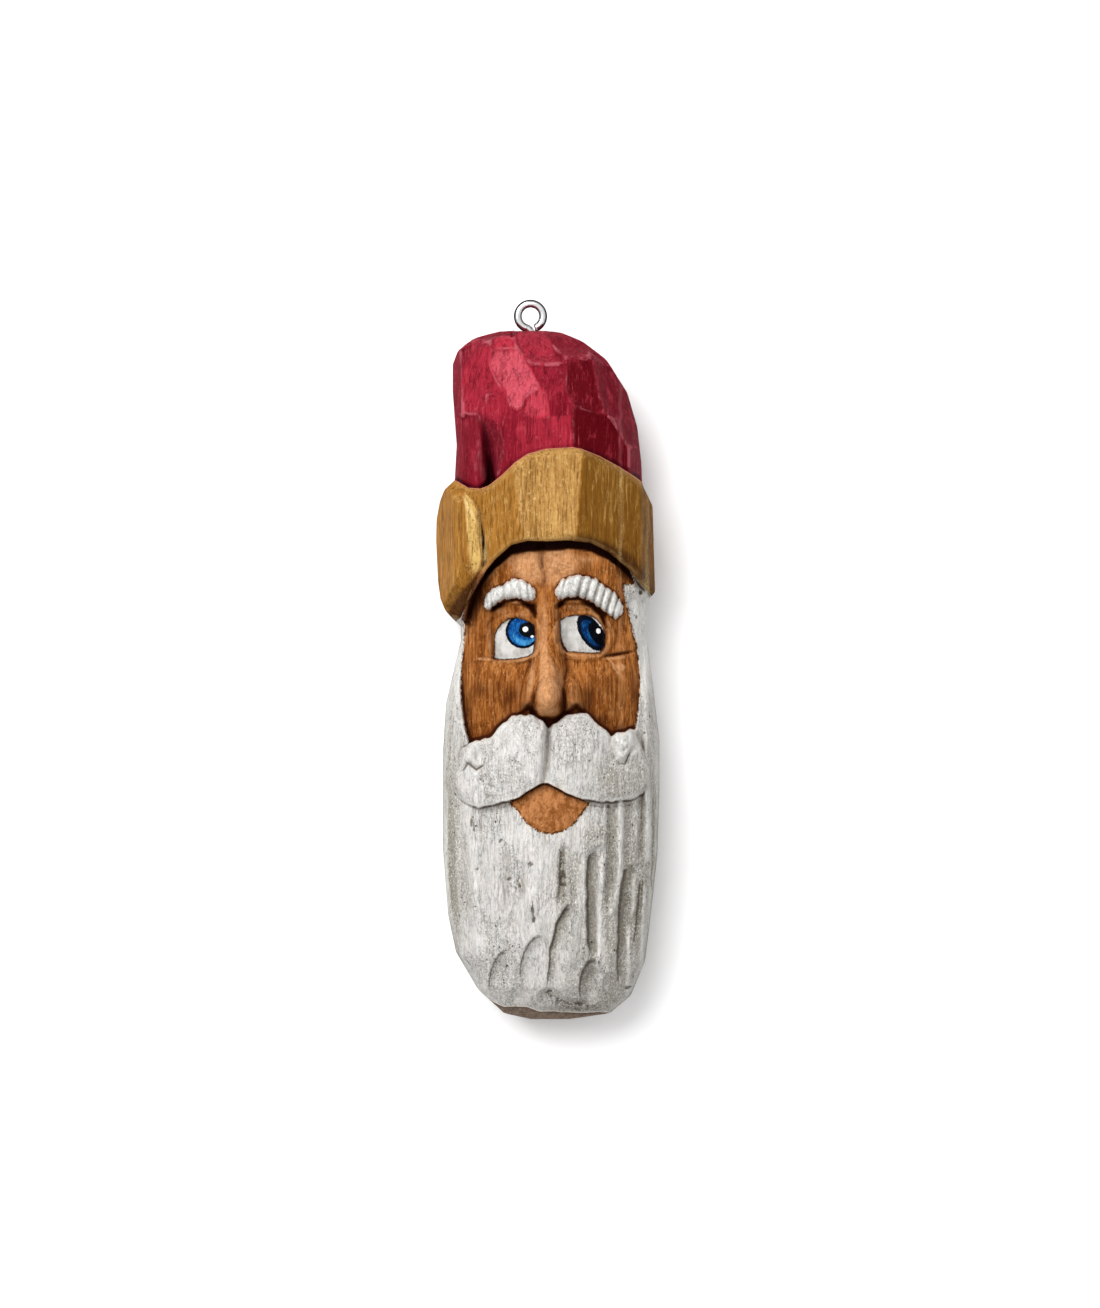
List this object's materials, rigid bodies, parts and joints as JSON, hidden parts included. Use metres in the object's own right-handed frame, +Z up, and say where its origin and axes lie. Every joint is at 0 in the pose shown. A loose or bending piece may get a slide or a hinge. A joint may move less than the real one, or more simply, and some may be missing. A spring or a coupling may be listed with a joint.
{
  "type": "carved santa ornament",
  "caption": "Whittled and painted wooden santa head with a tall folded hat, long face and long beard, with a screw eye in the hat to hang it by.",
  "frame": {"origin": "on the table, under the middle of the ornament's bounding box as it lies on its flat back", "axes": "+Z up out of the face, +Y along the length towards the hat and its screw eye, +X to the right of the face as it is looked at"},
  "size_m": [0.0334, 0.1079, 0.0265],
  "materials": {
    "painted_wood": "stained and painted, antiqued, hand-carved facets",
    "plated_steel": "bright plated wire"
  },
  "bodies": {
    "root": {"carved_figure": "painted_wood", "screw_eye": "plated_steel"}
  },
  "joints": []
}
